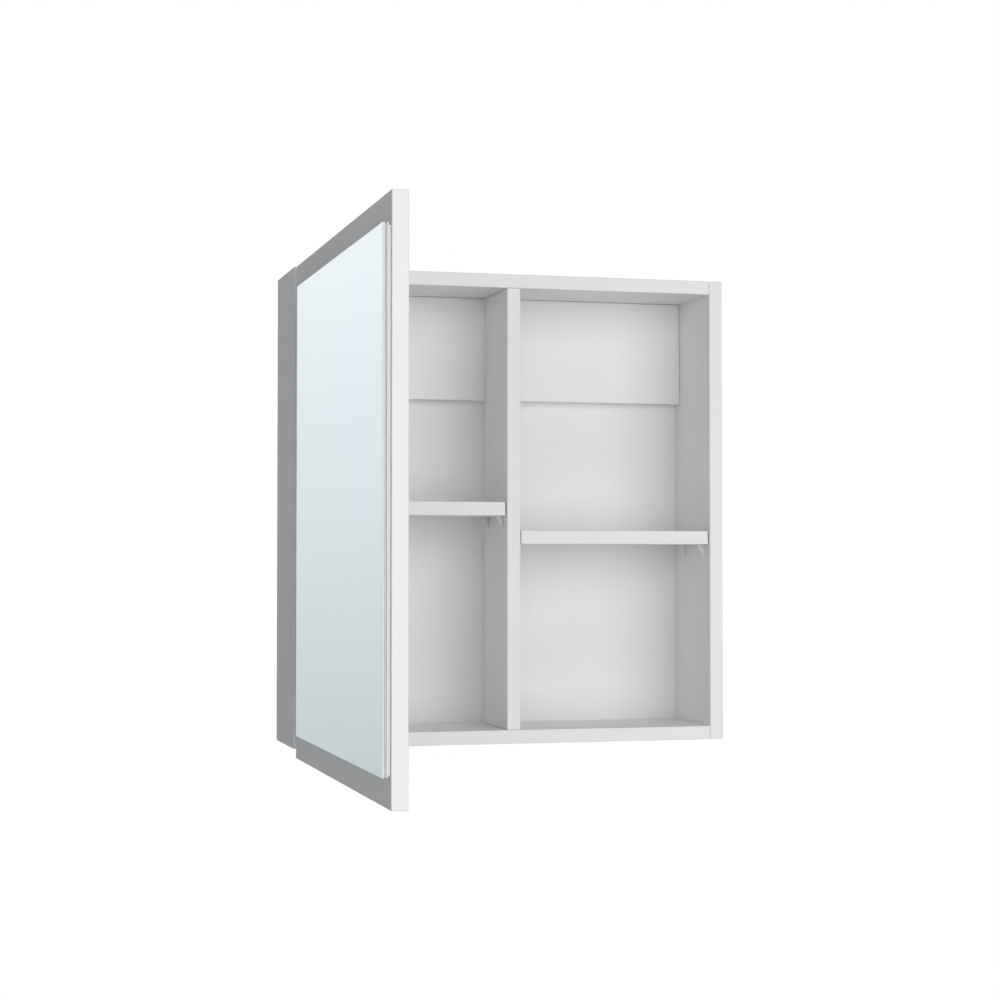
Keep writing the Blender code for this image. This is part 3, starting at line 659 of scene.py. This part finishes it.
def build_mirror():
    """The glass with its ground edge, the fibre backing, and the foam that sticks them to the door."""
    materials = (MIRROR, GLASS_EDGE, MIRROR_PAINT)
    shape = copied("mirror_glass")
    for face in shape.faces:
        if looks(face, X, -1):
            material = MIRROR
        elif looks(face, X, 1):
            material = MIRROR_PAINT
        else:
            material = GLASS_EDGE
        face.material_index = materials.index(material)
    replace_node("mirror_glass", "silvered", shape, materials, GLASS_ROUND, 3)
    refine("mirror_backing", "shaped", BACKING, BACKING_ROUND, 2)
    for node, recess in FOAM_RECESS.items():
        build_foam(node, recess)


def build_foam(node, recess):
    """A sheet of foam squeezed out nearly to the glass's edge, its own edge wavering a little."""
    low, high = corners(node)
    glass_low, glass_high = corners("mirror_glass")
    shape = copied(node)
    for axis in (Y, Z):
        for i in range(1, FOAM_STEPS):
            split_at(shape, axis, low[axis] + (high[axis] - low[axis]) * i / FOAM_STEPS)
    for vertex in shape.verts:
        inside = recess + FOAM_WAVER * field.noise(vertex.co * FOAM_WAVES)
        for axis in (Y, Z):
            if abs(vertex.co[axis] - low[axis]) < SAME_LEVEL:
                vertex.co[axis] = glass_low[axis] + inside
            elif abs(vertex.co[axis] - high[axis]) < SAME_LEVEL:
                vertex.co[axis] = glass_high[axis] - inside
    replace_node(node, "foam", shape, (TAPE,), FOAM_ROUND)


# ---------------------------------------------------------------- small hardware

def screw_mesh(name, length, head_radius, shank_radius, head_height, countersunk=False):
    """A cross-recess screw along -Z, threaded to its point.

    z = 0 is the underside of a pan head, or the top of a countersunk one.
    """
    if countersunk:
        top = 0.0
        start = length * PLAIN_SHARE
        profile = [
            (0.0, 0.0),
            (head_radius * 0.94, 0.0),
            (head_radius, -0.12 * MM),
            (head_radius, -COUNTERSUNK_RIM),
            (shank_radius, -COUNTERSUNK_RIM - (head_radius - shank_radius)),
        ]
    else:
        top = head_height
        start = min(PLAIN_MOST, length * PLAIN_SHARE)
        profile = dome(head_radius, head_height * PAN_RIM_SHARE, head_height * (1 - PAN_RIM_SHARE))
        profile.append((head_radius * 0.97, 0.0))
        profile.append((shank_radius, -0.05 * MM))
    root = shank_radius * SCREW_ROOT_SHARE
    turns = int((length - start) / SCREW_PITCH)
    profile.append((shank_radius, -start))
    profile += thread(root, shank_radius, -start, SCREW_PITCH, turns, SCREW_TURN, SCREW_TAPER)
    profile.append((0.0, -length))
    item = linked(name, turned_mesh(name, profile, 32))
    reach = head_radius * CROSS_REACH_SHARE
    blade = head_radius * CROSS_BLADE_SHARE
    depth = min(CROSS_DEPTH, length / 2)
    mesh = cut(item, solid_cross(reach, blade, top, depth)).data
    drop(item)
    return mesh


def screw_place(node, direction, head_height, twist):
    """Where the screw's own frame goes: its head's underside, from the node's box."""
    low, high = corners(node)
    direction = Vector(direction)
    half = abs((high - low).dot(direction)) / 2
    seat = Matrix.Translation((low + high) / 2 + direction * (half - head_height))
    return seat @ facing(direction) @ Matrix.Rotation(twist, 4, "Z")


def build_screws():
    """Every screw: one mesh for each kind, set where the frame has it, each turned its own way.

    A kind has the way its heads look, its nodes, its head's height in mm, its shank's share of the
    head's radius, and whether it is countersunk.
    """
    pairs = [(first, second) for first in LEVELS for second in LEVELS]
    kinds = {
        "plate": ((1, 0, 0), [f"hinge_plate_{a}_screw_{b}" for a, b in pairs], 1.6, 0.65, False),
        "arm": ((1, 0, 0), [f"hinge_arm_{level}_screw" for level in LEVELS], 1.4, 0.70, False),
        "cup": ((1, 0, 0), [f"hinge_cup_{a}_screw_{b}" for a, b in pairs], 1.2, 0.56, False),
        "hanger": ((0, 1, 0), [f"hanger_screw_{a}_{b}" for a in HANDS for b in LEVELS], 0.9, 0.57, False),
        "divider_top": ((0, 0, 1), ["divider_screw_top"], 0.0, 0.52, True),
        "divider_bottom": ((0, 0, -1), ["divider_screw_bottom"], 0.0, 0.52, True),
    }
    first_twist = 17
    next_twist = 31
    for kind, (direction, nodes, head_mm, shank_share, countersunk) in kinds.items():
        low, high = corners(nodes[0])
        run = abs((high - low).dot(Vector(direction)))
        radius = min(high - low) / 2
        head = head_mm * MM
        mesh = screw_mesh(kind + "_screw", run - head, radius, radius * shank_share, head, countersunk)
        material = SCREW_NICKEL if nodes[0].startswith("hinge") else ZINC
        for index, node in enumerate(nodes):
            twist = math.radians(first_twist + next_twist * index)
            item = add_piece(node + "_threaded", mesh.copy(), (material,))
            item.matrix_world = screw_place(node, direction, head, twist)
            stand_for(item, node)


def build_cams():
    """Cam locks with a dished face and a driver cross, and the bolts that they pull."""
    for level, up in (("top", 1), ("bottom", -1)):
        for hand, inward in (("left", 1), ("right", -1)):
            build_cam(f"cam_lock_{level}_{hand}", up, inward)
            build_bolt(f"cam_bolt_{level}_{hand}", inward)


def build_cam(node, up, inward):
    """A cam lock, its face looking up or down and its mouth towards the side panel."""
    low, high = corners(node)
    radius = (high.y - low.y) / 2
    half = (high.z - low.z) / 2
    profile = [
        (0.0, half - CAM_DISH),
        (radius * 0.62, half - CAM_DISH),
        (radius * 0.68, half),
        (radius - CAM_BEVEL, half),
        (radius, half - CAM_BEVEL),
        (radius, CAM_DISH - half),
        (radius - CAM_DISH, -half),
        (0.0, -half),
    ]
    name = node + "_cast"
    item = add_piece(name, turned_mesh(name, profile), (CAST,))
    cutters = solid_cross(radius * CAM_CROSS_SHARE, CAM_CROSS_BLADE, half, CAM_CROSS_DEPTH)
    mouth_low = (-2 * radius, -CAM_MOUTH_HALF, CAM_MOUTH_LOW)
    mouth_high = (0.0, CAM_MOUTH_HALF, CAM_MOUTH_HIGH)
    cutters.append(solid_box("mouth", mouth_low, mouth_high))
    cut(item, cutters)
    rest = Matrix.Rotation(math.pi if inward * up < 0 else 0.0, 4, "Z")
    item.matrix_world = Matrix.Translation((low + high) / 2) @ facing((0, 0, up)) @ rest
    stand_for(item, node)


def build_bolt(node, inward):
    """A cam bolt: ball head, slim neck, collar and a coarse wood thread."""
    low, high = corners(node)
    half = (high.x - low.x) / 2
    radius = (high.z - low.z) / 2
    neck = radius * BOLT_NECK_SHARE
    thread_top = -half + BOLT_THREAD_LENGTH
    profile = [(0.0, half)]
    for angle in BOLT_BALL_ANGLES:
        profile.append((radius * 0.95 * math.sin(angle), half - radius + radius * math.cos(angle)))
    profile.append((neck, half - 2.1 * radius))
    profile.append((neck, thread_top + MM))
    profile.append((radius, thread_top + 0.6 * MM))
    profile.append((radius, thread_top))
    profile += thread(neck, radius * 0.97, thread_top, BOLT_PITCH, BOLT_TURNS, BOLT_TURN)
    profile.append((0.0, -half))
    name = node + "_threaded"
    item = add_piece(name, turned_mesh(name, profile, 32), (ZINC,))
    item.matrix_world = Matrix.Translation((low + high) / 2) @ facing((inward, 0, 0))
    stand_for(item, node)


def build_supports():
    for node in sorted(NODES):
        if node.startswith("shelf_support_"):
            refine(node, "moulded", PLASTIC, PLASTIC_ROUND)


def build_hangers():
    for hand in HANDS:
        refine("hanger_" + hand, "pressed", ZINC_SHEET, SHEET_ROUND)


# ---------------------------------------------------------------- hinges

def build_cup(node):
    """The hinge cup: deep drawn, with a stepped floor, a thin rim, two rounded screw wings and a notch.

    It is made about Z with its flange's rear face at z = 0, and then turned to look along X.
    """
    low, high = corners(node)
    middle = (low + high) / 2
    screw_low, screw_high = corners(node + "_screw_upper")
    middle.y = (screw_low.y + screw_high.y) / 2
    face = high.x - FLANGE_THICK
    bottom = low.x - face
    floor = bottom + CUP_FLOOR
    rim = middle.y - low.y
    outer = rim - FLANGE_REACH
    inner = outer - CUP_WALL
    profile = [
        (0.0, floor + CUP_STEP),
        (inner * 0.35, floor + 0.9 * CUP_STEP),
        (inner * 0.42, floor),
        (inner - 1.2 * MM, floor),
        (inner - 0.3 * MM, floor + 0.4 * MM),
        (inner, floor + 1.3 * MM),
        (inner, FLANGE_THICK - CUP_LIP),
        (inner + CUP_LIP, FLANGE_THICK),
        (rim - 0.4 * MM, FLANGE_THICK),
        (rim, FLANGE_THICK - 0.4 * MM),
        (rim, 0.35 * MM),
        (outer, FLANGE_UNDER),
        (outer, bottom + 1.0 * MM),
        (outer - 1.0 * MM, bottom),
        (0.0, bottom),
    ]
    name = node + "_drawn"
    item = add_piece(name, turned_mesh(name, profile, 72), (NICKEL,))
    turn = facing((1, 0, 0))
    along = (turn.inverted() @ Vector((0, 0, 1))).normalized()
    across = along.cross(Vector((0, 0, 1)))
    hinge_side = turn.inverted() @ Vector((0, 1, 0))
    wing_place = (high.z - low.z) / 2 - WING_RADIUS
    plates = []
    for way in (1, -1):
        centre = along * way * wing_place
        near = along * way * (inner + 0.5 * MM) - across * WING_RADIUS
        far = centre + across * WING_RADIUS
        plates.append(solid_round("wing_tip", WING_RADIUS, FLANGE_UNDER, FLANGE_THICK, 48, centre))
        plates.append(solid_between("wing", near, far, FLANGE_UNDER, FLANGE_THICK))
    cut(item, plates, "UNION")
    openings = []
    for level in LEVELS:
        screw_low, screw_high = corners(f"{node}_screw_{level}")
        offset = ((screw_low + screw_high) / 2).z - middle.z
        openings.append(solid_round("screw_hole", CUP_HOLE, -MM, 2 * MM, 32, along * offset))
    near = hinge_side * CUP_NOTCH_REACH - along * CUP_NOTCH_HALF
    far = hinge_side * (rim + MM) + along * CUP_NOTCH_HALF
    openings.append(solid_between("notch", near, far, 0.1 * MM, 2 * MM))
    cut(item, openings)
    item.matrix_world = Matrix.Translation((face, middle.y, middle.z)) @ turn
    stand_for(settled(rounded(item, CUP_ROUND)), node)


def build_arm(node):
    """The arm: rounded channel with an adjusting slot, riveted pins and an adjusting screw."""
    low, high = corners(node)
    middle = (low + high) / 2
    slot_y = low.y + ARM_SLOT_PLACE
    slot_low = (high.x - ARM_SLOT_DEPTH, slot_y - ARM_SLOT_HALF_RUN, middle.z - ARM_SLOT_HALF_WIDTH)
    slot_high = (high.x + MM, slot_y + ARM_SLOT_HALF_RUN, middle.z + ARM_SLOT_HALF_WIDTH)
    slot = rounded(solid_box("adjusting_slot", slot_low, slot_high), ARM_SLOT_ROUND, 4)
    name = node + "_pressed"
    arm = cut(add_piece(name, mesh_of(name, copied(node)), (NICKEL,)), [slot])
    stand_for(settled(rounded(arm, ARM_ROUND, 3)), node)

    mesh = screw_mesh(node + "_adjuster", **ADJUSTER)
    adjuster = add_piece(node + "_adjusting_screw", mesh, (SCREW_NICKEL,))
    seat = Matrix.Translation((high.x + ADJUSTER_LIFT, slot_y, middle.z))
    adjuster.matrix_world = seat @ facing((1, 0, 0)) @ Matrix.Rotation(ADJUSTER_TWIST, 4, "Z")
    add_to_cabinet(adjuster)

    head = dome(RIVET_RADIUS, 0.0, RIVET_HEIGHT) + [(RIVET_RADIUS, -RIVET_SUNK), (0.0, -RIVET_SUNK)]
    placements = []
    for pivot in (PIVOTS["outer_link_pivot"], PIVOTS["inner_link_pivot"]):
        for way, z in ((1, high.z), (-1, low.z)):
            placements.append(Matrix.Translation((pivot.x, pivot.y, z)) @ facing((0, 0, way)))
    heads = gathered(node + "_rivets", turned_mesh("rivet_head", head, 32), placements)
    add_to_cabinet(add_piece(node + "_rivets", heads, (NICKEL,)))


def build_hinges():
    for level in LEVELS:
        build_cup("hinge_cup_" + level)
        build_arm("hinge_arm_" + level)
        refine("hinge_plate_" + level, "pressed", NICKEL, SHEET_ROUND)
        refine("outer_link_" + level, "pressed", NICKEL, LINK_ROUND)
        refine("inner_link_" + level, "pressed", NICKEL, LINK_ROUND)


# ---------------------------------------------------------------- stage

FLOOR_Z = -1.25
FLOOR_SIZE = 3.2

# What a direction meets, from straight down (0) to straight up (1), eased towards both ends.
# Shiny surfaces see the backdrop towards the wall, which is what the open mirror shows, and the studio
# elsewhere. All other surfaces get the dim ambient light.
BACKDROP_STOPS = [
    (0.0, (0.22, 0.23, 0.24)),
    (0.38, (0.42, 0.46, 0.48)),
    (0.43, (0.59, 0.645, 0.665)),
    (0.60, (0.87, 0.92, 0.96)),
    (1.0, (0.95, 0.95, 0.95)),
]
STUDIO_STOPS = [
    (0.0, (0.24, 0.25, 0.26)),
    (0.45, (0.46, 0.49, 0.51)),
    (0.62, (0.72, 0.76, 0.79)),
    (1.0, (0.80, 0.81, 0.82)),
]
AMBIENT_STOPS = [
    (0.0, (0.08, 0.08, 0.081)),
    (0.5, (0.10, 0.10, 0.103)),
    (1.0, (0.16, 0.16, 0.164)),
]

# The Y part of a direction where the backdrop begins, and where it has taken over from the studio
BACKDROP_REACH = (0.55, 0.93)

# Soft square lights: where each stands, its side in metres and its watts
SOFTBOXES = {
    "key_softbox": ((1.2, -4.25, 0.4), 4.2, 134.0),
    "fill_softbox": ((-1.45, -2.75, 0.2), 1.4, 15.5),
    "rear_softbox": ((1.7, 2.8, 1.3), 2.0, 90.0),
}


def build_stage():
    bpy.ops.mesh.primitive_plane_add(size=FLOOR_SIZE, location=(0.0, 0.0, FLOOR_Z))
    floor = bpy.context.object
    floor.name = "floor"
    pale = new_material("pale_floor", (0.86, 0.86, 0.86), 0.6)
    tree = pale.node_tree
    tone = ramp(tree, noise(tree, 3.0), [(0.3, (0.85, 0.85, 0.85)), (0.7, (0.88, 0.88, 0.88))])
    tree.links.new(tone, shader_of(pale).inputs["Base Color"])
    floor.data.materials.append(pale)


def build_world():
    """A white studio: white where seen, the backdrop and studio in reflections, dim light all round."""
    world = bpy.data.worlds.new("studio")
    bpy.context.scene.world = world
    world.use_nodes = True
    tree = world.node_tree
    tree.nodes.clear()
    path = tree.nodes.new("ShaderNodeLightPath")
    place = tree.nodes.new("ShaderNodeTexCoord")
    split = tree.nodes.new("ShaderNodeSeparateXYZ")
    tree.links.new(place.outputs["Generated"], split.inputs["Vector"])
    height = remap(tree, split.outputs["Z"], -1.0, 1.0, kind="SMOOTHSTEP")
    behind = remap(tree, split.outputs["Y"], *BACKDROP_REACH, kind="SMOOTHSTEP")
    ambient = ramp(tree, height, AMBIENT_STOPS)
    reflected = blended(tree, behind, ramp(tree, height, STUDIO_STOPS), ramp(tree, height, BACKDROP_STOPS))
    lit = tree.nodes.new("ShaderNodeBackground")
    seen = tree.nodes.new("ShaderNodeBackground")
    seen.inputs["Color"].default_value = (1.0, 1.0, 1.0, 1.0)
    mix = tree.nodes.new("ShaderNodeMixShader")
    out = tree.nodes.new("ShaderNodeOutputWorld")
    tree.links.new(blended(tree, path.outputs["Is Glossy Ray"], ambient, reflected), lit.inputs["Color"])
    tree.links.new(path.outputs["Is Camera Ray"], mix.inputs["Fac"])
    tree.links.new(lit.outputs["Background"], mix.inputs[1])
    tree.links.new(seen.outputs["Background"], mix.inputs[2])
    tree.links.new(mix.outputs["Shader"], out.inputs["Surface"])


def blended(tree, share, first, second):
    """From the first colour to the second as the share goes from 0 to 1."""
    node = tree.nodes.new("ShaderNodeMix")
    node.data_type = "RGBA"
    tree.links.new(share, node.inputs["Factor"])
    tree.links.new(first, node.inputs["A"])
    tree.links.new(second, node.inputs["B"])
    return node.outputs["Result"]


def build_lights():
    """Softboxes aimed at the cabinet's middle, and left out of reflections."""
    for name, (location, size, watts) in SOFTBOXES.items():
        light = bpy.data.lights.new(name, "AREA")
        light.shape = "SQUARE"
        light.size = size
        light.energy = watts
        item = linked(name, light)
        item.location = location
        item.rotation_euler = (-Vector(location)).to_track_quat("-Z", "Y").to_euler()
        item.visible_glossy = False


def build_camera():
    data = bpy.data.cameras.new("camera")
    data.lens = CAMERA_LENS
    data.sensor_width = SENSOR
    camera = linked("camera", data)
    camera.location = corners("side_panel_left")[0] + CAMERA_OFFSET
    camera.rotation_euler = (math.pi / 2 + CAMERA_PITCH, 0.0, -CAMERA_YAW)
    bpy.context.scene.camera = camera


build_camera()
build_stage()
build_world()
build_lights()
bpy.context.scene.view_settings.view_transform = "Standard"
build_boards()
build_back()
build_mirror()
build_supports()
build_hangers()
build_screws()
build_cams()
build_hinges()
